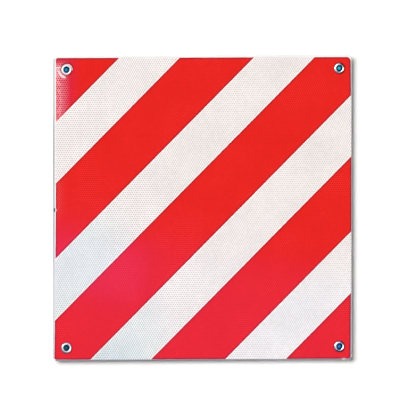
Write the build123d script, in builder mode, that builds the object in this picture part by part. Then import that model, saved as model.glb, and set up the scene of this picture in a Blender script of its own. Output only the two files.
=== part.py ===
"""Overhanging load sign: a square aluminium panel with folded edges, faced with white honeycomb
reflective sheeting and red diagonal stripes, with a metal eyelet at each corner to tie it up by.

Millimetres. X runs to the reader's right and Z up. The face looks towards -Y, and the origin is the
centre of the face, in the front plane of the red stripes. Depth is counted from there towards +Y.
"""

import os
from math import sqrt

from build123d import *

# Panel: one aluminium sheet
panel_side = 500.0
sheet_thickness = 1.0

# Folded edges: each edge turns back behind the sheet in a half-round bend and a flat return
hem_gap = 1.4
hem_return_width = 10.0
corner_tab_run = 0.5
bend_relief = 1.0
mitre_gap = 0.7

# Locating slot through the sheet beside the left bend, a little below half way up
locating_slot_width = 1.6
locating_slot_height = 4.9
locating_slot_inset = 2.1
locating_slot_drop = 1.7

# Sheeting: white film over the whole face, red film stripes on top of it
film_thickness = 0.4
stripe_thickness = 0.1
film_edge_gap = 0.1
stripe_inset = 0.1

# Corners: the panel's are rounder than the film's by the margin, and the film's top right one is cut rounder
film_corner_radius = 3.5
film_corner_margin = 5.0
top_right_rounding = 3.5

# How much further the sheeting stops short of the bends where it was laid and trimmed a little askew
top_trim_left = 0.8
top_trim_right = 1.7
bottom_trim_left = 0.8
left_trim_top = 2.5
left_trim_middle = 2.3
left_trim_bottom = 0.1
right_trim_top = 1.2
right_trim_bottom = 1.8

# Diagonal stripes, measured square across, and laid a little off the diagonal
red_width = 87.5
white_width = 71.3
stripe_angle = 44.7

# Eyelets and the washers that they are rolled over
bore_radius = 5.0
eyelet_wall = 0.5
flange_radius = 8.9
dome_height = 1.8
roll_radius = 1.6
washer_overhang = 0.1
washer_thickness = 0.6
barrel_clearance = 0.15
washer_hem_gap = 3.0

# Worked out from the sizes above
half_side = panel_side / 2
corner_radius = film_corner_radius + film_corner_margin
bend_radius = sheet_thickness + hem_gap / 2
notch_length = panel_side - 2 * (corner_radius + corner_tab_run)
bend_length = notch_length - 2 * bend_relief
bend_start = half_side - bend_length / 2
return_start = max(bend_start, hem_return_width + mitre_gap)
return_free_length = panel_side - 2 * return_start

film_front = stripe_thickness
sheet_front = film_front + film_thickness
sheet_back = sheet_front + sheet_thickness
bend_axis_depth = sheet_front + bend_radius
return_front = sheet_back + hem_gap
washer_back = sheet_back + washer_thickness

washer_radius = flange_radius + washer_overhang
eyelet_inset = hem_return_width + washer_hem_gap + washer_radius
eyelet_reach = half_side - eyelet_inset
barrel_radius = bore_radius + eyelet_wall
barrel_hole_radius = barrel_radius + barrel_clearance
corners = {
    "top_left": (-eyelet_reach, eyelet_reach),
    "top_right": (eyelet_reach, eyelet_reach),
    "bottom_left": (-eyelet_reach, -eyelet_reach),
    "bottom_right": (eyelet_reach, -eyelet_reach),
}

# Where each red stripe begins and ends, square across from the centre; the outer two fill their corners
centre_end = red_width / 2
next_start = centre_end + white_width
next_end = next_start + red_width
corner_start = next_end + white_width
half_diagonal = panel_side * sqrt(2) / 2
stripe_bands = {
    "top_left_corner": (corner_start, half_diagonal),
    "upper": (next_start, next_end),
    "centre": (-centre_end, centre_end),
    "lower": (-next_end, -next_start),
    "bottom_right_corner": (-half_diagonal, -corner_start),
}

os.makedirs("parts", exist_ok=True)


def face_plane(depth):
    """Plane parallel to the face, looking out towards the reader, at a depth behind the origin."""
    return Plane.XZ.offset(-depth)


def save(piece, name):
    """Labels a finished piece and writes it under its own name."""
    piece.part.label = name
    export_step(piece.part, f"parts/{name}.step")


def sheeting_outline(inset):
    """Area that the sheeting covers on the flat of the face, trimmed in by inset.

    It lies a little askew, further from the bends at the top right. Its sides are trimmed by hand in
    long curves, and its top right corner is cut rounder than the others.
    """
    reach = half_side - bend_radius - film_edge_gap - inset
    top_left = (left_trim_top - reach, reach - top_trim_left)
    bottom_left = (left_trim_bottom - reach, bottom_trim_left - reach)
    bottom_right = (reach - right_trim_bottom, -reach)
    top_right = (reach - right_trim_top, reach - top_trim_right)
    with BuildSketch() as outline:
        with BuildLine():
            ThreePointArc(top_left, (left_trim_middle - reach, 0), bottom_left)
            Line(bottom_left, bottom_right)
            ThreePointArc(bottom_right, (reach, 0), top_right)
            Line(top_right, top_left)
        make_face()
        nearest_top_right_first = outline.vertices().sort_by_distance(top_right)
        fillet(nearest_top_right_first[1:], film_corner_radius)
        top_right_corner = outline.vertices().sort_by_distance(top_right)[0]
        fillet(top_right_corner, film_corner_radius + top_right_rounding)
        with Locations(*corners.values()):
            Circle(barrel_hole_radius, mode=Mode.SUBTRACT)
    return outline.sketch


# Aluminium panel: the flat sheet with a notch along each edge, then a bend and a return on each side
with BuildPart() as panel:
    with BuildSketch(face_plane(sheet_back)):
        RectangleRounded(panel_side, panel_side, corner_radius)
        with Locations((0, half_side), (0, -half_side)):
            Rectangle(notch_length, 2 * bend_radius, mode=Mode.SUBTRACT)
        with Locations((half_side, 0), (-half_side, 0)):
            Rectangle(2 * bend_radius, notch_length, mode=Mode.SUBTRACT)
        with Locations(*corners.values()):
            Circle(barrel_hole_radius, mode=Mode.SUBTRACT)
    extrude(amount=sheet_thickness)

    for turn in range(4):
        outward = Vector(1, 0, 0).rotate(Axis.Y, 90 * turn)
        along = outward.cross(Vector(0, 1, 0))
        edge_middle = outward * half_side

        # Half-round bend, drawn across the edge: x outward from the outline, y depth
        bend_plane = Plane(origin=edge_middle, x_dir=outward, z_dir=along)
        with BuildSketch(bend_plane):
            with Locations((-bend_radius, bend_axis_depth)):
                Circle(bend_radius)
                Circle(bend_radius - sheet_thickness, mode=Mode.SUBTRACT)
                Rectangle(
                    bend_radius,
                    2 * bend_radius,
                    align=(Align.MIN, Align.CENTER),
                    mode=Mode.INTERSECT,
                )
        extrude(amount=bend_length / 2, both=True)

        # Flat return, drawn on the back: x outward from the outline, y along the edge
        return_plane = Plane(
            origin=edge_middle + Vector(0, return_front, 0),
            x_dir=outward,
            z_dir=(0, 1, 0),
        )
        with BuildSketch(return_plane):
            with BuildLine():
                Polyline(
                    (-bend_radius, bend_length / 2),
                    (-hem_return_width, return_free_length / 2),
                    (-hem_return_width, -return_free_length / 2),
                    (-bend_radius, -bend_length / 2),
                    close=True,
                )
            make_face()
        extrude(amount=sheet_thickness)

    # Locating slot, cut from the middle of the bend's depth out through the front
    with BuildSketch(face_plane(bend_axis_depth)):
        with Locations((locating_slot_inset - half_side, -locating_slot_drop)):
            SlotOverall(locating_slot_height, locating_slot_width, rotation=90)
    extrude(amount=bend_radius, mode=Mode.SUBTRACT)
save(panel, "aluminium_panel")

# White honeycomb sheeting over the whole face
with BuildPart() as sheeting:
    with BuildSketch(face_plane(sheet_front)):
        add(sheeting_outline(0))
    extrude(amount=film_thickness)
save(sheeting, "white_reflective_sheeting")

# Red film stripes, each the part of a slanted band that lies on the sheeting
for stripe_name, (near, far) in stripe_bands.items():
    with BuildPart() as stripe:
        with BuildSketch(face_plane(film_front)):
            add(sheeting_outline(stripe_inset))
            with Locations(Location((0, 0), stripe_angle)):
                with Locations((0, (near + far) / 2)):
                    Rectangle(2 * panel_side, far - near, mode=Mode.INTERSECT)
        extrude(amount=stripe_thickness)
    save(stripe, f"red_stripe_{stripe_name}")

# Eyelets: domed flange in front, barrel through the sheet, end rolled over the washer behind
crest_radius = bore_radius + dome_height
roll_centre = bore_radius + roll_radius
roll_end = bore_radius + 2 * roll_radius
for corner_name, (x, z) in corners.items():
    with BuildPart() as eyelet:
        with BuildSketch(Plane(origin=(x, 0, z), x_dir=(1, 0, 0), z_dir=(0, 0, 1))):
            with BuildLine():
                TangentArc((crest_radius, -dome_height), (flange_radius, 0), tangent=(1, 0))
                Line((flange_radius, 0), (flange_radius - eyelet_wall, 0))
                TangentArc(
                    (crest_radius, eyelet_wall - dome_height),
                    (flange_radius - eyelet_wall, 0),
                    tangent=(1, 0),
                )
                CenterArc((crest_radius, 0), dome_height - eyelet_wall, 180, 90)
                Line((barrel_radius, 0), (barrel_radius, washer_back))
                CenterArc((roll_centre, washer_back), roll_radius - eyelet_wall, 0, 180)
                Line((roll_end - eyelet_wall, washer_back), (roll_end, washer_back))
                CenterArc((roll_centre, washer_back), roll_radius, 0, 180)
                Line((bore_radius, washer_back), (bore_radius, 0))
                CenterArc((crest_radius, 0), dome_height, 180, 90)
            make_face()
        revolve(axis=Axis((x, 0, z), (0, 1, 0)))
    save(eyelet, f"eyelet_{corner_name}")

# Washers under the rolled ends, on the back of the sheet
for corner_name, (x, z) in corners.items():
    with BuildPart() as washer:
        with BuildSketch(face_plane(washer_back)):
            with Locations((x, z)):
                Circle(washer_radius)
                Circle(barrel_hole_radius, mode=Mode.SUBTRACT)
        extrude(amount=washer_thickness)
    save(washer, f"washer_{corner_name}")
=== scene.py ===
from math import cos, radians, sin, sqrt, tan

import bpy
import numpy as np
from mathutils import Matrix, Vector
from mathutils.geometry import delaunay_2d_cdt


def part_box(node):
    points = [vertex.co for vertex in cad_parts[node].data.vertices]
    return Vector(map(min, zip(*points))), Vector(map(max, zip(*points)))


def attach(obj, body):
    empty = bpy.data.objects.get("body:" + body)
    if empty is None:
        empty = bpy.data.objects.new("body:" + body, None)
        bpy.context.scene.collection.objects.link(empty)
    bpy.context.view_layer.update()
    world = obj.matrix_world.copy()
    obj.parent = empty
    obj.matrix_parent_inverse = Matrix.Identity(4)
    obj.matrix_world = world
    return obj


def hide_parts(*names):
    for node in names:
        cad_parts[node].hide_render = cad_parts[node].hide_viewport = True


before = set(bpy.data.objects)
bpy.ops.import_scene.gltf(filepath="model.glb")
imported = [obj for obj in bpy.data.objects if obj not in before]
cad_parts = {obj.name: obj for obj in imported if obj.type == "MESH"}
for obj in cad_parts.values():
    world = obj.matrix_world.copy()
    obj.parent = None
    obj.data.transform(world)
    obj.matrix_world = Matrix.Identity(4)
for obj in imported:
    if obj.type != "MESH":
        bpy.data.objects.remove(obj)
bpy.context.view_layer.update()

scene = bpy.context.scene


# Aluminium panel: one square of rolled sheet, its four edges folded back into half-round hems.
# The film covers the face, so metal shows on the hems, the corner tabs and the whole back. Rolling leaves
# a straight grain, primer hazes the flat beside the film, the bends but the top one are soiled and painted
# dark as shade, most on the bottom, the folds and the slot are painted dark as shade, and one knock shines as
# a scrape with a painted highlight.
panel_low, panel_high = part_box("aluminium_panel")
panel_half_side = panel_high[0]
panel_front = panel_low[1]
panel_back = panel_high[1]
bend_width = (panel_back - panel_front) / 2
sheet_thickness = 0.001
hem_front = panel_front + sheet_thickness
hem_back = panel_back - sheet_thickness
slot_across = 0.0021 - panel_half_side
slot_up = -0.0017
slot_half_width = 0.0012
slot_half_height = 0.0030
slot_floor = hem_back + 0.0002
knock_glint_across = 0.2358
knock_glint_up = -0.2488
knock_glint_width = 0.0032
knock_glint_height = 0.0012
knock_glint_edge = (1.4, 0.5)
top_starts = panel_half_side - 1.8 * bend_width
bend_starts = panel_half_side - 1.5 * bend_width
bend_full = panel_half_side - 1.2 * bend_width
fold_ends = panel_half_side - 0.4 * bend_width
soiled_bend_edge = 1.6 * bend_width - panel_half_side
right_strip_starts = 0.9 * panel_half_side
haze_start = panel_front + 0.0004
haze_full = panel_front + 0.0002
soil_and_shade_full = panel_front + 0.0012
fold_shade_start = 0.00002
fold_shade_full = 0.00008
aluminium_haze = (0.72, 0.72, 0.72, 1.0)
aluminium_dull = (0.55, 0.56, 0.58, 1.0)
aluminium_clean = (0.74, 0.75, 0.77, 1.0)
aluminium_rubbed = (0.86, 0.86, 0.87, 1.0)
strip_dark_low = (0.26, 0.20, 0.225, 1.0)
bend_pale = (0.50, 0.49, 0.50, 1.0)
bend_soil_and_shade = (0.22, 0.21, 0.235, 1.0)
hem_painted_shade = (0.03, 0.03, 0.045, 1.0)

# Places, in metres, between which soil and painted shade, and the strip's darkening, come in or die away
left_soil_and_shade_rises = (-0.16, -0.01)
left_soil_and_shade_ends = (0.21, 0.12)
other_soil_and_shade_rises = (0.2, -0.1)
right_strip_dark_low = (0.05, -0.1)


def make(tree, kind, inputs=None, **settings):
    """Adds a shader node, sets its options, and gives each input a value or a link from another node."""
    node = tree.nodes.new("ShaderNode" + kind)
    for name, value in settings.items():
        setattr(node, name, value)
    for name, value in (inputs or {}).items():
        if isinstance(value, bpy.types.NodeSocket):
            tree.links.new(value, node.inputs[name])
        else:
            node.inputs[name].default_value = value
    return node


def work_out(tree, operation, first, second=0.0, third=0.0):
    """Result of one sum on up to three values."""
    return make(tree, "Math", {0: first, 1: second, 2: third}, operation=operation).outputs[0]


def product(tree, *values):
    """Values multiplied together: for masks, the part that they share."""
    result = values[0]
    for value in values[1:]:
        result = work_out(tree, "MULTIPLY", result, value)
    return result


def largest(tree, *values):
    """Largest of some values: for masks, all that any of them covers."""
    result = values[0]
    for value in values[1:]:
        result = work_out(tree, "MAXIMUM", result, value)
    return result


def opposite(tree, mask):
    """1 where a mask is 0, and 0 where it is 1."""
    return work_out(tree, "SUBTRACT", 1.0, mask)


def work_out_vector(tree, operation, first, second=(0.0, 0.0, 0.0), third=(0.0, 0.0, 0.0)):
    """Result of one sum on up to three vectors."""
    return make(tree, "VectorMath", {0: first, 1: second, 2: third}, operation=operation).outputs["Vector"]


def measure(tree, operation, first, second=(0.0, 0.0, 0.0)):
    """A length, a distance or a dot product of vectors, as one value."""
    return make(tree, "VectorMath", {0: first, 1: second}, operation=operation).outputs["Value"]


def place_on(tree):
    """Where each spot lies on an object, in its own frame."""
    return make(tree, "TexCoord").outputs["Object"]


def apart(tree, vector):
    """The X, Y and Z of a vector, each by itself."""
    return make(tree, "SeparateXYZ", {0: vector}).outputs


def noise(tree, place, scale, detail, roughness=0.5):
    """Soft random values about a half, so many to the metre."""
    inputs = {"Vector": place, "Scale": scale, "Detail": detail, "Roughness": roughness}
    return make(tree, "TexNoise", inputs).outputs["Fac"]


def ease(tree, value, start, end, low=0.0, high=1.0):
    """Value eased smoothly from low, at start, to high, at end."""
    inputs = {"Value": value, "From Min": start, "From Max": end, "To Min": low, "To Max": high}
    return make(tree, "MapRange", inputs, interpolation_type="SMOOTHSTEP").outputs["Result"]


# A Mix node takes its share at socket 0, values at 2 and 3, vectors at 4 and 5, and colours at 6 and 7
def blend_colours(tree, share, first, second):
    """First colour where share is 0, second where it is 1."""
    return make(tree, "Mix", {0: share, 6: first, 7: second}, data_type="RGBA").outputs[2]


def tint_by(tree, colour, other, share=1.0):
    """Colour multiplied by another colour or by a grey value."""
    inputs = {0: share, 6: colour, 7: other}
    return make(tree, "Mix", inputs, data_type="RGBA", blend_type="MULTIPLY").outputs[2]


def start_group(name, inputs):
    """New shader node group with named inputs; returns its tree and its inputs as sockets to link from."""
    tree = bpy.data.node_groups.new(name, "ShaderNodeTree")
    for socket_name, kind, value in inputs:
        socket = tree.interface.new_socket(socket_name, in_out="INPUT", socket_type="NodeSocket" + kind)
        socket.default_value = value
    return tree, tree.nodes.new("NodeGroupInput").outputs


def end_group(tree, results):
    """Gives a node group its outputs, each a value under a name."""
    for name in results:
        tree.interface.new_socket(name, in_out="OUTPUT", socket_type="NodeSocketFloat")
    outlet = tree.nodes.new("NodeGroupOutput")
    for name, value in results.items():
        tree.links.new(value, outlet.inputs[name])
    return tree


def use_group(tree, group, inputs=None):
    """Places a node group in a material with values of its own."""
    return make(tree, "Group", inputs, node_tree=group).outputs


def start_material(name):
    """New material; returns it with its node tree and its Principled shader."""
    material = bpy.data.materials.new(name)
    material.use_nodes = True
    return material, material.node_tree, material.node_tree.nodes["Principled BSDF"]


def raise_by(tree, shader, height, distance, strength=1.0):
    """Feeds a height to the shader's normal as a bump of that many metres."""
    bump = make(tree, "Bump", {"Height": height, "Distance": distance, "Strength": strength})
    tree.links.new(bump.outputs["Normal"], shader.inputs["Normal"])


def metal_marks_group():
    """Grain, hairline scratches and dull blotches of worked metal, each from 0 to 1."""
    tree, given = start_group(
        "worked_metal_marks",
        [
            ("Grain Stretch", "Vector", (6.0, 900.0, 900.0)),
            ("Scratch Stretch", "Vector", (14.0, 500.0, 420.0)),
            ("Scratch Width", "Float", 0.012),
            ("Blotch Scale", "Float", 22.0),
        ],
    )
    place = place_on(tree)
    grain_place = work_out_vector(tree, "MULTIPLY", place, given["Grain Stretch"])
    grain = noise(tree, grain_place, scale=1.0, detail=5.0, roughness=0.6)
    turn = {"Vector": place, "Axis": (0.0, 1.0, 0.0), "Angle": radians(24)}
    turned = make(tree, "VectorRotate", turn).outputs["Vector"]
    scratch_place = work_out_vector(tree, "MULTIPLY", turned, given["Scratch Stretch"])
    off_line = work_out(tree, "SUBTRACT", noise(tree, scratch_place, scale=1.0, detail=2.0), 0.5)
    hairline = work_out(tree, "LESS_THAN", work_out(tree, "ABSOLUTE", off_line), given["Scratch Width"])
    broken = ease(tree, noise(tree, place, scale=45.0, detail=2.0), 0.52, 0.64)
    scratches = product(tree, hairline, broken)
    blotches = ease(tree, noise(tree, place, given["Blotch Scale"], detail=4.0), 0.35, 0.68)
    return end_group(tree, {"Grain": grain, "Scratches": scratches, "Blotches": blotches})


worked_metal_marks = metal_marks_group()

rolled_aluminium, tree, shader = start_material("rolled_aluminium")
marks = use_group(tree, worked_metal_marks)
place = place_on(tree)
across, depth, up = apart(tree, place)
outermost = largest(tree, work_out(tree, "ABSOLUTE", across), work_out(tree, "ABSOLUTE", up))
on_bend = ease(tree, outermost, bend_starts, bend_full)
on_top = ease(tree, up, top_starts, bend_starts)
on_left = work_out(tree, "LESS_THAN", across, soiled_bend_edge)
on_bottom = work_out(tree, "LESS_THAN", up, soiled_bend_edge)
bends_but_top = product(tree, on_bend, opposite(tree, on_top))

# Soil and painted shade on the bends but the top one, more towards the back and on the bottom,
# and less near both ends of the left one
soil_and_shade_on_left = ease(tree, up, *left_soil_and_shade_rises, 0.3, 1.0)
soil_and_shade_on_left = product(tree, soil_and_shade_on_left, ease(tree, up, *left_soil_and_shade_ends, 0.4, 1.0))
soil_and_shade_elsewhere = ease(tree, across, *other_soil_and_shade_rises, 0.75, 1.0)
soil_and_shade = make(tree, "Mix", {0: on_left, 2: soil_and_shade_elsewhere, 3: soil_and_shade_on_left}).outputs[0]
soil_and_shade_depth = ease(tree, depth, panel_front, soil_and_shade_full, 0.1, 1.0)
soil_and_shade_depth = largest(tree, soil_and_shade_depth, product(tree, on_bottom, 0.8), product(tree, on_left, 0.6))
soil_and_shade = product(tree, soil_and_shade, soil_and_shade_depth, ease(tree, marks["Blotches"], 0.0, 1.0, 0.85, 1.0))

# Haze on the flat strip beside the film and on the top bend, and painted shade in the folds and in the slot
hazed = product(tree, ease(tree, depth, haze_start, haze_full), opposite(tree, on_bend))
hazed = product(tree, largest(tree, hazed, on_top), ease(tree, marks["Grain"], 0.2, 0.5, 0.8, 1.0))
in_hem = product(
    tree,
    ease(tree, depth, hem_front + fold_shade_start, hem_front + fold_shade_full),
    ease(tree, depth, hem_back + fold_shade_full, hem_back + fold_shade_start),
    work_out(tree, "LESS_THAN", outermost, fold_ends),
)
in_slot = product(
    tree,
    work_out(tree, "COMPARE", across, slot_across, slot_half_width),
    work_out(tree, "COMPARE", up, slot_up, slot_half_height),
    work_out(tree, "LESS_THAN", depth, slot_floor),
)
darkened = largest(tree, in_hem, in_slot)
from_knock_glint = work_out_vector(tree, "SUBTRACT", place, (knock_glint_across, panel_front, knock_glint_up))
knock_glint_stretch = (1 / knock_glint_width, 1 / knock_glint_height, 1 / knock_glint_height)
from_knock_glint = measure(tree, "LENGTH", work_out_vector(tree, "MULTIPLY", from_knock_glint, knock_glint_stretch))

metal = blend_colours(tree, marks["Blotches"], aluminium_clean, aluminium_dull)
metal = tint_by(tree, metal, ease(tree, marks["Grain"], 0.3, 0.7, 0.9, 1.06))
metal = blend_colours(tree, marks["Scratches"], metal, aluminium_rubbed)
# The flat strip is darker low on the right
on_right = work_out(tree, "GREATER_THAN", across, right_strip_starts)
low_on_right = product(tree, on_right, ease(tree, up, *right_strip_dark_low))
metal = blend_colours(tree, hazed, metal, blend_colours(tree, low_on_right, aluminium_haze, strip_dark_low))
metal = blend_colours(tree, bends_but_top, metal, blend_colours(tree, soil_and_shade, bend_pale, bend_soil_and_shade))
# A knock on the bottom edge: rubbed metal with a painted highlight
metal = blend_colours(tree, ease(tree, from_knock_glint, *knock_glint_edge), metal, aluminium_rubbed)
metal = blend_colours(tree, darkened, metal, hem_painted_shade)
tree.links.new(metal, shader.inputs["Base Color"])
covered = largest(tree, hazed, bends_but_top, darkened)
tree.links.new(work_out(tree, "MULTIPLY_ADD", covered, -0.8, 0.95), shader.inputs["Metallic"])
roughness = ease(tree, marks["Grain"], 0.3, 0.7, 0.4, 0.5)
roughness = work_out(tree, "MULTIPLY_ADD", marks["Blotches"], 0.12, roughness)
roughness = work_out(tree, "MULTIPLY_ADD", covered, 0.1, roughness)
tree.links.new(roughness, shader.inputs["Roughness"])
grain_height = work_out(tree, "SUBTRACT", marks["Grain"], marks["Scratches"])
raise_by(tree, shader, grain_height, distance=0.00002)
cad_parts["aluminium_panel"].material_slots[0].material = rolled_aluminium


# White reflective sheeting: a glossy film over glass beads, laid on the whole face of the panel.
# It is sealed in a honeycomb of small closed cells: each cell is a flat plate, and the seal lines
# between the cells are pressed in as fine grooves, which look whiter than the beads in the cells.
cell_pitch = 0.0038
cell_period = np.array([cell_pitch, cell_pitch * sqrt(3)])
cell_corner_reach = cell_pitch / sqrt(3)
plate_share = 0.86
plate_crown = 0.000006
seal_depth = 0.00003
point_clearance = 0.0003
edge_band = 0.0032
edge_rest = 0.0015
stripe_angle = radians(44.7)
stripe_half_width = 0.04375
stripe_period = 0.1588
white_bead = (0.617, 0.575, 0.565, 1.0)
white_seal = (0.833, 0.787, 0.777, 1.0)
white_bead_left = (0.544, 0.513, 0.508, 1.0)
white_seal_glare_left = (0.937, 0.886, 0.881, 1.0)
white_cool_shade = (0.873, 0.967, 0.965, 1.0)
white_lowest_shade = (0.893, 0.935, 0.961, 1.0)
white_neutral_tint = (1.0, 1.035, 1.055, 1.0)
white_by_red = (0.94, 0.75, 0.71, 1.0)
by_red_width = 0.0020

# Places, in metres, between which the white film's tones change
left_tones_across = (0.05, -0.15)
cool_to_lower_left = (0.11, 0.225)
cool_up = (0.06, -0.02)
lowest_left_across = (-0.08, -0.13)
lowest_left_up = (-0.2, -0.235)
lower_right_across = (-0.02, 0.08)
lower_right_up = (-0.07, -0.15)


def ramp(values, start, end):
    """Straight rise of values from 0, at start, to 1, at end."""
    return np.clip((values - start) / (end - start), 0, 1)


def cell_distance(points):
    """How far each (x, z) point is from its cell's centre to the seal line round it, from 0 to 1."""
    square = points - cell_period * np.round(points / cell_period)
    staggered = points - cell_period * (np.floor(points / cell_period) + 0.5)
    nearer = np.hypot(square[:, 0], square[:, 1]) < np.hypot(staggered[:, 0], staggered[:, 1])
    across, up = np.abs(np.where(nearer[:, None], square, staggered)).T
    return np.maximum(across, across / 2 + up * sqrt(3) / 2) / (cell_pitch / 2)


def cell_points(low, high):
    """Points that draw each cell in a box: its centre, six round its plate, its upper and lower corner."""
    first = np.floor(np.array(low) / cell_period) - 1
    last = np.ceil(np.array(high) / cell_period) + 1
    columns, rows = np.meshgrid(np.arange(first[0], last[0] + 1), np.arange(first[1], last[1] + 1))
    corners_of_period = np.stack([columns.ravel(), rows.ravel()], axis=1)
    centres = np.concatenate([corners_of_period, corners_of_period + 0.5]) * cell_period
    turns = np.radians(np.arange(6) * 60 + 30)
    plate = np.stack([np.cos(turns), np.sin(turns)], axis=1) * cell_corner_reach * plate_share
    steps = np.concatenate([[(0, 0)], plate, [(0, cell_corner_reach), (0, -cell_corner_reach)]])
    return (centres[:, None, :] + steps[None, :, :]).reshape(-1, 2)


def film_outline(node):
    """Loops of (x, z) points round a flat film's front, the film always to the left of the loop."""
    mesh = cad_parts[node].data
    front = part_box(node)[0][1]
    spots = [tuple(round(value, 7) for value in vertex.co) for vertex in mesh.vertices]
    edges = set()
    for face in mesh.polygons:
        corners = [spots[index] for index in face.vertices]
        if max(spot[1] for spot in corners) > front + 1e-6:
            continue
        for start, end in zip(corners, corners[1:] + corners[:1]):
            if (end, start) in edges:
                edges.remove((end, start))
            else:
                edges.add((start, end))
    following = dict(edges)
    loops = []
    while following:
        spot = min(following)
        loop = []
        while spot in following:
            loop.append((spot[0], spot[2]))
            spot = following.pop(spot)
        loops.append(np.array(loop))
    return loops


def on_film(points, loops):
    """Which points are on the film, and how far each is from the film's nearest edge."""
    inside = np.zeros(len(points), bool)
    gap = np.full(len(points), 1.0)
    x, z = points.T
    for loop in loops:
        for (x0, z0), (x1, z1) in zip(loop, np.roll(loop, -1, axis=0)):
            if z0 != z1:
                inside ^= ((z0 > z) != (z1 > z)) & (x < (x1 - x0) * (z - z0) / (z1 - z0) + x0)
            length_squared = (x1 - x0) ** 2 + (z1 - z0) ** 2
            along = np.clip(((x - x0) * (x1 - x0) + (z - z0) * (z1 - z0)) / length_squared, 0, 1)
            gap = np.minimum(gap, np.hypot(x - x0 - along * (x1 - x0), z - z0 - along * (z1 - z0)))
    return inside, gap


def in_whole_steps(points):
    """Places as whole hundredths of a millimetre, so that the same place is found again."""
    return [tuple(spot) for spot in np.round(points * 1e5).astype(int)]


def seal_lines(points):
    """Pairs of cell corners with a seal line between them: each joins an upper corner and a lower one."""
    corners = np.flatnonzero(cell_distance(points) > 0.99)
    corner_at = dict(zip(in_whole_steps(points[corners]), corners))
    lower_right = (cell_pitch / 2, -cell_corner_reach / 2)
    lower_left = (-cell_pitch / 2, -cell_corner_reach / 2)
    straight_up = (0, cell_corner_reach)
    pairs = []
    for step in (lower_right, lower_left, straight_up):
        for corner, spot in zip(corners, in_whole_steps(points[corners] + step)):
            if spot in corner_at:
                pairs.append((corner, corner_at[spot]))
    return pairs


def divided(loop):
    """The same loop with its long sides divided into steps of about one cell."""
    spots = []
    for start, end in zip(loop, np.roll(loop, -1, axis=0)):
        steps = max(1, round(np.hypot(*(end - start)) / cell_pitch))
        spots += [start + (end - start) * step / steps for step in range(steps)]
    return np.array(spots)


def fill_outline(loops, cells):
    """Triangles over a film through its outline and cells; returns points, triangles and outline edges."""
    edges = []
    outline = [divided(loop) for loop in loops]
    for loop in outline:
        start = len(edges)
        edges += [(start + i, start + (i + 1) % len(loop)) for i in range(len(loop))]
    points = np.concatenate(outline + [cells])
    seals = [(len(edges) + first, len(edges) + second) for first, second in seal_lines(cells)]
    in_millimetres = [Vector(point) for point in points * 1000]
    _, _, triangles, _, _, _ = delaunay_2d_cdt(in_millimetres, edges + seals, [], 1, 1e-6)
    triangles = np.array(triangles)
    inside, _ = on_film(points[triangles].mean(axis=1), loops)
    return points, triangles[inside].tolist(), edges


def note_values(mesh, name, values):
    """Keeps one value for each point of a mesh, for its material to read."""
    mesh.attributes.new(name, "FLOAT", "POINT").data.foreach_set("value", values)


def noted(tree, name):
    """The values that a mesh keeps under a name."""
    return make(tree, "Attribute", attribute_name=name).outputs["Fac"]


def lay_film(name, node, relief, shown):
    """Closed film with embossed cells where shown says so; relief is how far its front stands out."""
    low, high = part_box(node)
    loops = film_outline(node)
    cells = cell_points((low[0], low[2]), (high[0], high[2]))
    cells = cells[shown(cells)]
    inside, gap = on_film(cells, loops)
    cells = cells[inside & (gap > point_clearance)]
    points, triangles, edges = fill_outline(loops, cells)
    edge_points, edge_triangles, _ = fill_outline(loops, np.zeros((0, 2)))
    _, gap = on_film(points, loops)
    front_depth = low[1] - relief(points) * ramp(gap, 0, edge_rest)
    front = np.column_stack([points[:, 0], front_depth, points[:, 1]])
    back = np.column_stack([edge_points[:, 0], np.full(len(edge_points), high[1]), edge_points[:, 1]])
    behind = len(front)
    faces = triangles + [[i, i + behind, j + behind, j] for i, j in edges]
    faces += [[behind + i for i in reversed(triangle)] for triangle in edge_triangles]
    mesh = bpy.data.meshes.new(name)
    mesh.from_pydata(np.concatenate([front, back]).tolist(), [], faces)
    smooth = np.zeros(len(faces), bool)
    smooth[:len(triangles)] = True
    mesh.polygons.foreach_set("use_smooth", smooth)
    mesh.set_sharp_from_angle(angle=radians(4))
    edge_nearness = np.concatenate([ramp(gap, edge_band, 0), np.ones(len(back))])
    note_values(mesh, "edge_nearness", edge_nearness)
    film = bpy.data.objects.new(name, mesh)
    scene.collection.objects.link(film)
    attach(film, "root")
    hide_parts(node)
    return film


def cell_relief(points):
    """Flat plates with a very slight crown, and grooves where the cells are sealed."""
    distance = cell_distance(points)
    in_groove = ramp(distance, plate_share, 1)
    on_plate = ramp(distance, 0, plate_share)
    return -plate_crown * on_plate ** 2 - seal_depth * in_groove


def from_stripe_middle(points):
    """Distance of each point from the middle line of the nearest red stripe, square across the stripes."""
    across = points[:, 1] * cos(stripe_angle) - points[:, 0] * sin(stripe_angle)
    return np.abs(across - stripe_period * np.round(across / stripe_period))


def shows_white(points):
    """Points on the white stripes, and a cell's width beyond them under the red."""
    return from_stripe_middle(points) > stripe_half_width - cell_pitch


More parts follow.
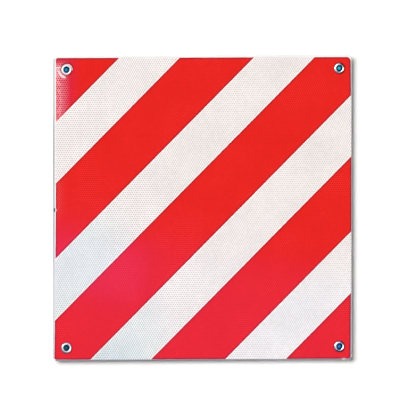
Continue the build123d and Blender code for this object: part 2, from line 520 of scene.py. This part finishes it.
def honeycomb_group():
    """Sealed cells: how near a seal line each spot is, a mask of the seal lines, a tone for each cell."""
    tree, given = start_group(
        "honeycomb_cells",
        [("Pitch", "Float", cell_pitch), ("Seal Start", "Float", 0.45), ("Seal Full", "Float", 0.95)],
    )
    across, _, up = apart(tree, place_on(tree))
    flat = make(tree, "CombineXYZ", {0: across, 1: up, 2: 0.0}).outputs[0]
    to_pitches = work_out(tree, "DIVIDE", 1.0, given["Pitch"])
    in_pitches = make(tree, "VectorMath", {0: flat, "Scale": to_pitches}, operation="SCALE").outputs["Vector"]
    half = (0.5, sqrt(3) / 2, 0.5)
    minus_half = (-0.5, -sqrt(3) / 2, -0.5)
    square = work_out_vector(tree, "WRAP", in_pitches, half, minus_half)
    moved = work_out_vector(tree, "SUBTRACT", in_pitches, (0.5, sqrt(3) / 2, 0.0))
    staggered = work_out_vector(tree, "WRAP", moved, half, minus_half)
    to_square = measure(tree, "LENGTH", square)
    to_staggered = measure(tree, "LENGTH", staggered)
    in_staggered = work_out(tree, "GREATER_THAN", to_square, to_staggered)
    choice = {0: in_staggered, 4: square, 5: staggered}
    from_centre = make(tree, "Mix", choice, data_type="VECTOR").outputs[1]
    aside, above, _ = apart(tree, work_out_vector(tree, "ABSOLUTE", from_centre))
    slanted = work_out(tree, "MULTIPLY_ADD", above, sqrt(3) / 2, work_out(tree, "MULTIPLY", aside, 0.5))
    nearness = work_out(tree, "MULTIPLY", largest(tree, aside, slanted), 2.0)
    seal = ease(tree, nearness, given["Seal Start"], given["Seal Full"])
    quarter_spacing = (0.25, 0.2165, 1.0)
    centre = work_out_vector(tree, "SUBTRACT", in_pitches, from_centre)
    centre = work_out_vector(tree, "SNAP", centre, quarter_spacing)
    cell_tone = make(tree, "TexWhiteNoise", {"Vector": centre}, noise_dimensions="3D").outputs["Value"]
    return end_group(tree, {"Nearness": nearness, "Seal": seal, "Cell Tone": cell_tone})


def film_ageing_group():
    """Outdoor wear on film: soft cloudy soiling, the grain of the glass beads, and a few dark specks."""
    tree, given = start_group(
        "film_ageing",
        [("Cloud Scale", "Float", 14.0), ("Bead Scale", "Float", 5200.0), ("Speck Scale", "Float", 90.0)],
    )
    place = place_on(tree)
    clouds = ease(tree, noise(tree, place, given["Cloud Scale"], detail=5.0), 0.3, 0.7)
    beads = noise(tree, place, given["Bead Scale"], detail=1.0)
    specks = make(tree, "TexVoronoi", {"Vector": place, "Scale": given["Speck Scale"], "Randomness": 1.0})
    small = work_out(tree, "LESS_THAN", specks.outputs["Distance"], 0.06)
    chance = make(tree, "SeparateColor", {0: specks.outputs["Color"]}).outputs[0]
    speck = product(tree, small, work_out(tree, "GREATER_THAN", chance, 0.8))
    return end_group(tree, {"Clouds": clouds, "Beads": beads, "Specks": speck})


honeycomb_cells = honeycomb_group()
film_ageing = film_ageing_group()

white_film, tree, shader = start_material("white_honeycomb_film")
cells = use_group(tree, honeycomb_cells, {"Seal Start": 0.62, "Seal Full": 0.86})
ageing = use_group(tree, film_ageing)
across, _, up = apart(tree, place_on(tree))
# Towards the left the seal lines are painted brighter as glare, and the beads darker
to_left = ease(tree, across, *left_tones_across)
bead = blend_colours(tree, to_left, white_bead, white_bead_left)
seal = blend_colours(tree, to_left, white_seal, white_seal_glare_left)
white = blend_colours(tree, cells["Seal"], bead, seal)
white = tint_by(tree, white, ease(tree, cells["Cell Tone"], 0.0, 1.0, 0.96, 1.02))
white = tint_by(tree, white, ease(tree, ageing["Clouds"], 0.0, 1.0, 0.97, 1.02))
white = tint_by(tree, white, ease(tree, ageing["Beads"], 0.3, 0.7, 0.97, 1.03))
white = tint_by(tree, white, work_out(tree, "MULTIPLY_ADD", ageing["Specks"], -0.25, 1.0))

# The film has aged warm; towards the lower left a painted cool reflection and painted shade make it cooler
# and duller, and it is tinted neutral at the lower right
to_lower_left = work_out(tree, "MULTIPLY_ADD", up, -0.5, work_out(tree, "MULTIPLY", across, -1.0))
cooled = product(tree, ease(tree, to_lower_left, *cool_to_lower_left), ease(tree, up, *cool_up))
white = tint_by(tree, white, white_cool_shade, cooled)
lowest_left = product(tree, ease(tree, up, *lowest_left_up), ease(tree, across, *lowest_left_across))
white = tint_by(tree, white, white_lowest_shade, lowest_left)
to_lower_right = product(tree, ease(tree, up, *lower_right_up), ease(tree, across, *lower_right_across))
white = tint_by(tree, white, white_neutral_tint, to_lower_right)

# Red bleeds a little into the white along the stripes
up_the_stripes = work_out(tree, "MULTIPLY", up, cos(stripe_angle))
across_the_stripes = work_out(tree, "MULTIPLY_ADD", across, -sin(stripe_angle), up_the_stripes)
from_middle = work_out(tree, "PINGPONG", across_the_stripes, stripe_period / 2)
by_red = ease(tree, from_middle, stripe_half_width + by_red_width, stripe_half_width + 0.5 * by_red_width)
white = blend_colours(tree, by_red, white, white_by_red)
tree.links.new(white, shader.inputs["Base Color"])
roughness = work_out(tree, "MULTIPLY_ADD", cells["Seal"], 0.1, 0.2)
roughness = work_out(tree, "MULTIPLY_ADD", ageing["Clouds"], 0.06, roughness)
tree.links.new(roughness, shader.inputs["Roughness"])
raise_by(tree, shader, ageing["Beads"], distance=0.00001, strength=0.5)

white_sheeting = lay_film("white_sheeting", "white_reflective_sheeting", cell_relief, shows_white)
white_sheeting.data.materials.append(white_film)


# Red stripes: five strips of clear red film stuck over the white sheeting, cut to the same edges.
# The cells below press through it. At the upper left it has crept and its cells stand in deeper relief, with
# painted glare and a painted crimson reflection on them, and an arc, a crease and a scuff round the eyelet
# there;
# two knocked spots at the panel's edge have stretched it, and these, the arc and the crease are painted pale
# as highlights.
red_bead = (0.635, 0.0083, 0.0053, 1.0)
red_seal = (0.715, 0.0113, 0.0078, 1.0)
red_scuffed = (1.0, 0.54, 0.54, 1.0)
red_cut_edge = (0.37, 0.007, 0.018, 1.0)
red_crimson_sheen = (0.57, 0.0095, 0.050, 1.0)
red_crept_crimson = (0.52, 0.010, 0.045, 1.0)
red_glare_cell = (0.74, 0.17, 0.22, 1.0)
red_glare_seal = (1.0, 0.72, 0.77, 1.0)
red_stretched_glint = (0.93, 0.80, 0.82, 1.0)
red_dark_line = (0.13, 0.004, 0.008, 1.0)
dark_ring_width = 0.0022
eyelet_low, eyelet_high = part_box("eyelet_top_right")
eyelet_reach = (eyelet_low[0] + eyelet_high[0]) / 2
flange_radius = (eyelet_high[0] - eyelet_low[0]) / 2

# Arc and crease by the top left eyelet, and knocked spots with painted highlights as places across and up,
# widths and heights
pucker_radius = 0.0126
pucker_width = 0.0017
pucker_across = (-0.0005, -0.003)
pucker_up = (0.0012, -0.0028)
crease_above = 0.0034
crease_width = 0.0010
flange_margin = 0.001
stretch_height = 0.0004
knock_glints = (
    (knock_glint_across, knock_glint_up, knock_glint_width, knock_glint_height),
    (-0.2452, -0.0020, 0.0008, 0.0014),
)

# Film that has crept in from the left edge: places between which it comes in, grows and dies away
creep_bulge = 0.0004
creep_inset = 0.005
creep_reach = 0.0235
creep_starts = (0.09, 0.14)
creep_ends = (0.244, 0.234)
creep_least_at_end = 0.1
creep_limit = 0.75
creep_limit_lifts = (0.19, 0.2025)
middle_creep = 0.14
middle_creep_reach = 0.010
middle_creep_up = 0.03
middle_creep_height = 0.045
crimson_sheen_across = (-0.20, -0.238)

# Scuff over the top left eyelet, with a dark line round it
scuff_radius = 0.0096
scuff_line_width = 0.0024
scuff_aside = 0.0010
scuff_above = 0.0002
scuff_blur = 0.0003
scuff_waver = 0.0004
scuff_foot = (eyelet_reach - 0.0012, eyelet_reach - 0.0004)


def bell(values, middle, width, power=2):
    """Smooth hump in values, 1 at the middle and falling off over the width."""
    return np.exp(-((values - middle) / width) ** power)


def crept(points):
    """How far the film has crept from its left edge, from 0 to 1: most at the top, some at mid height."""
    from_edge = np.maximum(points[:, 0] + panel_half_side - creep_inset, 0)
    up = points[:, 1]
    limit = creep_limit + (1 - creep_limit) * ramp(up, *creep_limit_lifts)
    upper = np.minimum(ramp(from_edge, creep_reach, 0), limit) * ramp(up, *creep_starts)
    upper = upper * np.maximum(ramp(up, *creep_ends), creep_least_at_end)
    middle = bell(from_edge, 0, middle_creep_reach) * bell(up, middle_creep_up, middle_creep_height, 4)
    return np.maximum(upper, middle_creep * middle)


def stretched(points):
    """Where the film is stretched and painted pale as a highlight, from 0 to 1: an arc and a crease by one
    eyelet, and two knocked spots.
    """
    across = points[:, 0] + eyelet_reach
    up = points[:, 1] - eyelet_reach
    from_eyelet = np.hypot(across, up)
    arc = bell(from_eyelet, pucker_radius, pucker_width) * ramp(across, *pucker_across) * ramp(up, *pucker_up)
    crease = bell(up, crease_above, crease_width) * (across < 0)
    pale = np.maximum(arc, crease) * ramp(from_eyelet, flange_radius, flange_radius + flange_margin)
    for knock_glint_x, knock_glint_z, width, height in knock_glints:
        pale = np.maximum(pale, bell(points[:, 0], knock_glint_x, width) * bell(points[:, 1], knock_glint_z, height))
    return pale


def red_relief(points):
    """Cells pressing through, bulging where the film has crept, with a wrinkle and a crease by one eyelet."""
    bulge = creep_bulge * crept(points) * np.clip(1 - cell_distance(points) ** 2, 0, 1)
    return cell_relief(points) + stretch_height * stretched(points) + bulge


def all_over(points):
    """Every point."""
    return np.ones(len(points), bool)


def eyelet_place_group():
    """Where each spot lies from the axis of the nearest eyelet: how far off, to the right and above."""
    tree, given = start_group("eyelet_place", [("Reach", "Float", eyelet_reach)])
    across, _, up = apart(tree, place_on(tree))
    axis_across = product(tree, work_out(tree, "SIGN", across), given["Reach"])
    axis_up = product(tree, work_out(tree, "SIGN", up), given["Reach"])
    right = work_out(tree, "SUBTRACT", across, axis_across)
    above = work_out(tree, "SUBTRACT", up, axis_up)
    off_axis = measure(tree, "LENGTH", make(tree, "CombineXYZ", {0: right, 1: 0.0, 2: above}).outputs[0])
    return end_group(tree, {"Off Axis": off_axis, "Right": right, "Above": above})


eyelet_place = eyelet_place_group()

red_film, tree, shader = start_material("red_honeycomb_film")
cells = use_group(tree, honeycomb_cells, {"Seal Start": 0.4, "Seal Full": 0.95})
ageing = use_group(tree, film_ageing)
place = place_on(tree)
across, _, up = apart(tree, place)
red = blend_colours(tree, cells["Seal"], red_bead, red_seal)
# Crimson by the left edge at the top: a painted bluish reflection on the red
crimson_sheen = product(tree, ease(tree, across, *crimson_sheen_across), ease(tree, up, *creep_starts))
red = blend_colours(tree, crimson_sheen, red, red_crimson_sheen)

# Crept film: painted glare, with pale thin seal lines and some paler cells among crimson ones
lifted = noted(tree, "crept")
glaring_cell = product(tree, ease(tree, cells["Cell Tone"], 0.55, 0.75), ease(tree, lifted, 0.4, 0.9))
red_crept_glare = blend_colours(tree, glaring_cell, red_crept_crimson, red_glare_cell)
red_crept_glare = blend_colours(tree, ease(tree, cells["Nearness"], 0.80, 0.96), red_crept_glare, red_glare_seal)
red = blend_colours(tree, lifted, red, red_crept_glare)
red = tint_by(tree, red, ease(tree, cells["Cell Tone"], 0.0, 1.0, 0.97, 1.02))
red = tint_by(tree, red, ease(tree, ageing["Clouds"], 0.0, 1.0, 0.98, 1.01))
red = tint_by(tree, red, ease(tree, ageing["Beads"], 0.3, 0.7, 0.97, 1.03))

# Darker cut edges, grime and painted shadow round the eyelets, stretched film painted pale as a highlight,
# and the scuff
by_edge = product(tree, ease(tree, noted(tree, "edge_nearness"), 0.05, 0.45), opposite(tree, lifted))
red = blend_colours(tree, by_edge, red, red_cut_edge)
# Grime and a painted contact shadow make a dark ring round each eyelet's flange
from_eyelet = use_group(tree, eyelet_place)["Off Axis"]
darkened = ease(tree, from_eyelet, flange_radius + dark_ring_width, flange_radius + 0.2 * dark_ring_width, 0.0, 0.5)
red = blend_colours(tree, darkened, red, red_dark_line)
# Stretched film painted pale as a highlight
red = blend_colours(tree, product(tree, noted(tree, "stretched"), 0.95), red, red_stretched_glint)
scuff_place = (scuff_aside - eyelet_reach, 0.0, eyelet_reach + scuff_above)
from_scuff = measure(tree, "DISTANCE", place, scuff_place)
from_scuff = work_out(tree, "MULTIPLY_ADD", ageing["Clouds"], scuff_waver, from_scuff)
over_eyelet = ease(tree, up, *scuff_foot)
scuff_line = ease(tree, from_scuff, scuff_radius + scuff_line_width, scuff_radius + 0.5 * scuff_line_width)
red = blend_colours(tree, product(tree, scuff_line, over_eyelet), red, red_dark_line)
scuffed = ease(tree, from_scuff, scuff_radius + scuff_blur, scuff_radius - scuff_blur)
red = blend_colours(tree, product(tree, scuffed, over_eyelet), red, red_scuffed)
tree.links.new(red, shader.inputs["Base Color"])
roughness = work_out(tree, "MULTIPLY_ADD", cells["Seal"], 0.06, 0.17)
roughness = work_out(tree, "MULTIPLY_ADD", ageing["Clouds"], 0.06, roughness)
tree.links.new(roughness, shader.inputs["Roughness"])
raise_by(tree, shader, ageing["Beads"], distance=0.00001, strength=0.4)

for stripe in ("top_left_corner", "upper", "centre", "lower", "bottom_right_corner"):
    red_stripe = lay_film(f"red_film_{stripe}", f"red_stripe_{stripe}", red_relief, all_over)
    spots = np.array([(vertex.co.x, vertex.co.z) for vertex in red_stripe.data.vertices])
    note_values(red_stripe.data, "crept", crept(spots))
    note_values(red_stripe.data, "stretched", stretched(spots))
    red_stripe.data.materials.append(red_film)


# Eyelets: steel pressings plated bright, set through the panel and the film at each corner.
# The domed flange stands on the film and the barrel goes through; its end is rolled over a washer. Soil and
# painted shade lie at the flanges' feet, painted shade darkens the right ones' outer right flanks and every
# bore, the left ones have weathered matt, and the red film laps over the top left one.
plating_bright = (0.94, 0.94, 0.94, 1.0)
plating_dull = (0.66, 0.66, 0.68, 1.0)
bore_shade_navy = (0.03, 0.06, 0.11, 1.0)
plating_soil_and_shade = (0.20, 0.20, 0.21, 1.0)
plating_shade_black = (0.03, 0.02, 0.025, 1.0)
lapping_film = (0.66, 0.03, 0.045, 1.0)
bore_radius = 0.005
dome_height = -eyelet_low[1]
crest_radius = bore_radius + dome_height
soiled_width = 0.0020

# Distances from an eyelet's axis, in metres, between which soil, film and wear come in
widened_to_lower_left = (0.002, 0.007)
shade_to_right = (0.0005, 0.0025)
shade_off_level = (0.003, 0.005)
shade_outward = (crest_radius - 0.0002, crest_radius + 0.0008)
lapped_to_right = (0.001, 0.003)
lapped_up = (0.0, -0.0015)
lapped_outward = (crest_radius + 0.0002, crest_radius + 0.0008)
bore_edge = (bore_radius + 0.0007, bore_radius + 0.0002)
lip_edge = (crest_radius + 0.0004, crest_radius - 0.0003)
rubbed_to_upper_left = (0.0, 0.004)

bright_plating, tree, shader = start_material("bright_plating")
plating_marks = {
    "Grain Stretch": (700.0, 700.0, 700.0),
    "Scratch Stretch": (160.0, 900.0, 900.0),
    "Scratch Width": 0.01,
    "Blotch Scale": 260.0,
}
marks = use_group(tree, worked_metal_marks, plating_marks)
across, _, up = apart(tree, place_on(tree))
on_left = work_out(tree, "LESS_THAN", across, 0.0)
on_right = work_out(tree, "GREATER_THAN", across, 0.0)
at_top = work_out(tree, "GREATER_THAN", up, 0.0)
at_bottom = work_out(tree, "LESS_THAN", up, 0.0)
by_axis = use_group(tree, eyelet_place)
from_axis = by_axis["Off Axis"]
right_of_axis = by_axis["Right"]
above_axis = by_axis["Above"]
left_of_axis = work_out(tree, "MULTIPLY", right_of_axis, -1.0)
metal = blend_colours(tree, product(tree, marks["Blotches"], 0.35), plating_bright, plating_dull)
metal = blend_colours(tree, product(tree, marks["Scratches"], 0.5), metal, plating_dull)

# Soil and painted shade at the foot of every flange, wider at the lower left of the bottom ones
at_foot = ease(tree, from_axis, flange_radius - soiled_width, flange_radius, 0.0, 0.8)
to_lower_left = work_out(tree, "SUBTRACT", left_of_axis, above_axis)
foot_widened = product(
    tree,
    at_bottom,
    ease(tree, to_lower_left, *widened_to_lower_left),
    ease(tree, from_axis, flange_radius - 1.5 * soiled_width, flange_radius - 0.4 * soiled_width),
)
metal = blend_colours(tree, largest(tree, at_foot, foot_widened), metal, plating_soil_and_shade)

# Painted shade, near black, at the upper and lower right of the right-hand ones, and film over the top left
# one
shaded_flanks = product(
    tree,
    on_right,
    ease(tree, right_of_axis, *shade_to_right),
    ease(tree, work_out(tree, "ABSOLUTE", above_axis), *shade_off_level),
    ease(tree, from_axis, *shade_outward),
)
metal = blend_colours(tree, shaded_flanks, metal, plating_shade_black)
lapped = product(
    tree,
    on_left,
    at_top,
    ease(tree, right_of_axis, *lapped_to_right),
    ease(tree, above_axis, *lapped_up),
    ease(tree, from_axis, *lapped_outward),
)
metal = blend_colours(tree, lapped, metal, lapping_film)
# Painted shade and dark reflection inside each bore
metal = blend_colours(tree, ease(tree, from_axis, *bore_edge), metal, bore_shade_navy)
tree.links.new(metal, shader.inputs["Base Color"])
tree.links.new(work_out(tree, "MULTIPLY_ADD", marks["Blotches"], 0.1, 0.26), shader.inputs["Roughness"])

# Left-hand plating is weathered, the top one more, and each lip is rubbed matt at the upper left
weathered = product(tree, on_left, ease(tree, up, -0.1, 0.1, 0.5, 0.8))
to_upper_left = work_out(tree, "MULTIPLY_ADD", above_axis, 0.5, left_of_axis)
rubbed = ease(tree, to_upper_left, *rubbed_to_upper_left, 0.0, 0.85)
rubbed_lip = product(tree, ease(tree, from_axis, *lip_edge), rubbed)
tree.links.new(opposite(tree, largest(tree, weathered, rubbed_lip)), shader.inputs["Metallic"])
raise_by(tree, shader, marks["Grain"], distance=0.00001, strength=0.4)
corner_names = ("top_left", "top_right", "bottom_left", "bottom_right")
for corner in corner_names:
    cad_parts[f"eyelet_{corner}"].material_slots[0].material = bright_plating


# Washers: thin flat steel rings, zinc plated and dull, between the panel's back and the rolled ends.
# They are punched from sheet, and the zinc has a fine even grain and a faint clouded bloom.
zinc_dull = (0.50, 0.51, 0.53, 1.0)
zinc_clean = (0.66, 0.67, 0.68, 1.0)

dull_zinc, tree, shader = start_material("dull_zinc")
zinc_marks = {
    "Grain Stretch": (1500.0, 1500.0, 1500.0),
    "Scratch Stretch": (120.0, 800.0, 800.0),
    "Blotch Scale": 340.0,
}
marks = use_group(tree, worked_metal_marks, zinc_marks)
metal = blend_colours(tree, marks["Blotches"], zinc_clean, zinc_dull)
metal = tint_by(tree, metal, ease(tree, marks["Grain"], 0.3, 0.7, 0.9, 1.08))
tree.links.new(metal, shader.inputs["Base Color"])
tree.links.new(work_out(tree, "MULTIPLY_ADD", marks["Blotches"], 0.16, 0.34), shader.inputs["Roughness"])
shader.inputs["Metallic"].default_value = 1.0
raise_by(tree, shader, marks["Grain"], distance=0.00002, strength=0.6)
for corner in corner_names:
    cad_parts[f"washer_{corner}"].material_slots[0].material = dull_zinc


# Stage: a white backdrop close behind the sign, a small blue card behind each eyelet that shows through
# its hole, glowing with painted light that fades to a painted navy shade, and a pale floor below.
# From behind, the backdrop and the cards aren't seen and cast no shade.
backdrop_depth = 0.0138
backdrop_reach = 2.5
floor_height = -0.42
floor_depth = 3.0
paper_grey = (0.82, 0.82, 0.82, 1.0)
paper_pale = (0.86, 0.86, 0.86, 1.0)
card_depth = 0.0042
card_half_width = 0.007
card_shift = 0.0006
card_black = (0.0, 0.0, 0.0, 1.0)
card_shade_navy = (0.0, 0.012, 0.05, 1.0)
card_painted_glows = {
    "top_left": (0.030, 0.28, 0.60, 1.0),
    "top_right": (0.032, 0.52, 0.72, 1.0),
    "bottom_left": (0.017, 0.12, 0.14, 1.0),
    "bottom_right": (0.045, 0.22, 0.58, 1.0),
}
glow_radius = 0.0038


def stage_sheet(name, corners, material, place):
    """Flat four-cornered sheet that is part of the stage."""
    mesh = bpy.data.meshes.new(name)
    mesh.from_pydata(corners, [], [(0, 1, 2, 3)])
    mesh.materials.append(material)
    sheet = bpy.data.objects.new(name, mesh)
    sheet.location = place
    scene.collection.objects.link(sheet)
    return sheet


def upright(half_width, low, high):
    """Corners of an upright sheet that faces the reader."""
    foot = [(-half_width, 0.0, low), (half_width, 0.0, low)]
    head = [(half_width, 0.0, high), (-half_width, 0.0, high)]
    return foot + head


def level(half_width, half_depth):
    """Corners of a level sheet that faces up."""
    near = [(-half_width, -half_depth, 0.0), (half_width, -half_depth, 0.0)]
    far = [(half_width, half_depth, 0.0), (-half_width, half_depth, 0.0)]
    return near + far


def seen_from_front(tree, shader):
    """Lets the back of a stage sheet be looked through."""
    clear = make(tree, "BsdfTransparent")
    behind = make(tree, "NewGeometry").outputs["Backfacing"]
    either = make(tree, "MixShader", {0: behind, 1: shader.outputs[0], 2: clear.outputs[0]})
    tree.links.new(either.outputs[0], tree.nodes["Material Output"].inputs["Surface"])


white_paper, tree, shader = start_material("white_paper")
fibre = noise(tree, place_on(tree), scale=400.0, detail=3.0)
tree.links.new(blend_colours(tree, fibre, paper_grey, paper_pale), shader.inputs["Base Color"])
shader.inputs["Roughness"].default_value = 0.9
shader.inputs["Specular IOR Level"].default_value = 0.1
seen_from_front(tree, shader)

backdrop_corners = upright(backdrop_reach, floor_height, backdrop_reach)
backdrop = stage_sheet("backdrop_wall", backdrop_corners, white_paper, (0.0, backdrop_depth, 0.0))
backdrop.visible_shadow = False
backdrop.visible_glossy = False
floor = stage_sheet("floor", level(backdrop_reach, floor_depth), white_paper, (0.0, 0.0, floor_height))
floor.visible_diffuse = False
floor.visible_glossy = False

# Each card glows with painted light in its middle, fading to a painted navy shade
for corner, glow in card_painted_glows.items():
    blue_card, tree, shader = start_material(f"blue_card_{corner}")
    from_middle = measure(tree, "LENGTH", place_on(tree))
    glowing = ease(tree, from_middle, glow_radius, 0.25 * glow_radius)
    tree.links.new(blend_colours(tree, glowing, card_shade_navy, glow), shader.inputs["Emission Color"])
    shader.inputs["Emission Strength"].default_value = 1.0
    shader.inputs["Base Color"].default_value = card_black
    shader.inputs["Specular IOR Level"].default_value = 0.0
    seen_from_front(tree, shader)
    side = eyelet_reach if "right" in corner else -eyelet_reach
    rise = eyelet_reach if "top" in corner else -eyelet_reach
    card_corners = upright(card_half_width, -card_half_width, card_half_width)
    card_place = (side + card_shift, card_depth, rise)
    card = stage_sheet(f"card_behind_{corner}", card_corners, blue_card, card_place)
    card.visible_shadow = False
    card.visible_diffuse = False
    card.visible_glossy = False


# Light: one wide soft sun from the upper left, two cool panels low in front that show only in gloss, and two
# panels behind for the back. Shiny metal sees a dim room with a glow at the upper left and a white wall at
# the far left, and the camera sees the room white.
key_from_left = radians(31)
key_from_above = radians(20)
key_direction = (-tan(key_from_left), -1.0, tan(key_from_above))
key_spread = radians(38)
key_strength = 4.3
key_warm = (1.0, 0.985, 0.97)
cool_blue = (0.05, 0.12, 1.0)
cool_tilt = radians(-10)
plain_white = (1.0, 1.0, 1.0)
faint_blue = (0.97, 0.99, 1.0)
sign_middle = (0.0, 0.0, 0.0)
room_white = (1.0, 1.0, 1.0, 1.0)
room_dim = (0.15, 0.15, 0.15, 1.0)
reflected_dark = (0.02, 0.02, 0.022, 1.0)
reflected_glow = (0.6, 0.6, 0.6, 1.0)
glow_heading = (-0.45, -0.72, 0.53)
glow_edge = (0.45, 0.97)
wall_heading = (-0.93, -0.37, 0.0)
wall_edge = (0.6, 0.85)


def aim(thing, direction):
    """Turns a light or camera so that it looks along a direction."""
    thing.rotation_euler = Vector(direction).to_track_quat("-Z", "Y").to_euler()


def soft_sun(name, toward, spread, strength, colour):
    """Even light from far away; toward points at the light from the sign, and spread is how wide it looks."""
    lamp = bpy.data.lights.new(name, "SUN")
    lamp.angle = spread
    lamp.energy = strength
    lamp.color = colour
    light = bpy.data.objects.new(name, lamp)
    aim(light, -Vector(toward))
    scene.collection.objects.link(light)


def light_panel(name, place, aimed_at, width, height, power, colour):
    """Rectangular soft light at a place, turned to a point."""
    lamp = bpy.data.lights.new(name, "AREA")
    lamp.shape = "RECTANGLE"
    lamp.size = width
    lamp.size_y = height
    lamp.energy = power
    lamp.color = colour
    light = bpy.data.objects.new(name, lamp)
    light.location = place
    aim(light, Vector(aimed_at) - Vector(place))
    light.visible_camera = False
    scene.collection.objects.link(light)
    return light


soft_sun("key_light", key_direction, key_spread, key_strength, key_warm)
cool_light = light_panel(
    "cool_light", place=(0.034, -0.27, -0.2216), aimed_at=(-0.02, 0.0, -0.214),
    width=0.54, height=0.30, power=0.38, colour=cool_blue,
)
cool_left = light_panel(
    "cool_light_left", place=(-0.171, -0.195, -0.0960), aimed_at=(-0.210, 0.0, -0.0905),
    width=0.22, height=0.088, power=0.074, colour=cool_blue,
)
for light in (cool_light, cool_left):
    light.rotation_euler.rotate_axis("Z", cool_tilt)
    light.visible_diffuse = False
light_panel(
    "back_light_left", place=(-1.6, 2.2, 1.4), aimed_at=sign_middle,
    width=1.4, height=1.4, power=60.0, colour=plain_white,
)
light_panel(
    "back_light_right", place=(1.8, 1.9, 0.6), aimed_at=sign_middle,
    width=1.0, height=1.4, power=30.0, colour=faint_blue,
)

world = bpy.data.worlds.new("room")
scene.world = world
world.use_nodes = True
tree = world.node_tree
rays = make(tree, "LightPath")
heading = make(tree, "TexCoord").outputs["Generated"]
to_glow = ease(tree, measure(tree, "DOT_PRODUCT", heading, glow_heading), *glow_edge)
to_wall = ease(tree, measure(tree, "DOT_PRODUCT", heading, wall_heading), *wall_edge)
reflected = blend_colours(tree, to_glow, reflected_dark, reflected_glow)
reflected = blend_colours(tree, to_wall, reflected, room_white)
dim_or_reflected = blend_colours(tree, rays.outputs["Is Glossy Ray"], room_dim, reflected)
seen = blend_colours(tree, rays.outputs["Is Camera Ray"], dim_or_reflected, room_white)
tree.links.new(seen, tree.nodes["Background"].inputs["Color"])
scene.view_settings.view_transform = "Standard"


# Camera: a view without convergence, about eleven degrees to the left of square on and a little above.
# The sign stands a little to the right of the picture's middle and below it.
camera_left = radians(-11.3)
camera_above = radians(1.6)
camera_distance = 3.0
view_height = 0.65548
view_to_right = -0.00465
view_up = 0.01327
flat_share = cos(camera_above)
picture_right = Vector((cos(camera_left), sin(camera_left), 0.0))
towards_camera = Vector((sin(camera_left) * flat_share, -cos(camera_left) * flat_share, sin(camera_above)))
picture_up = towards_camera.cross(picture_right)
lens = bpy.data.cameras.new("camera")
lens.type = "ORTHO"
lens.ortho_scale = view_height
camera = bpy.data.objects.new("camera", lens)
camera.location = towards_camera * camera_distance + picture_right * view_to_right + picture_up * view_up
aim(camera, -towards_camera)
scene.collection.objects.link(camera)
scene.camera = camera
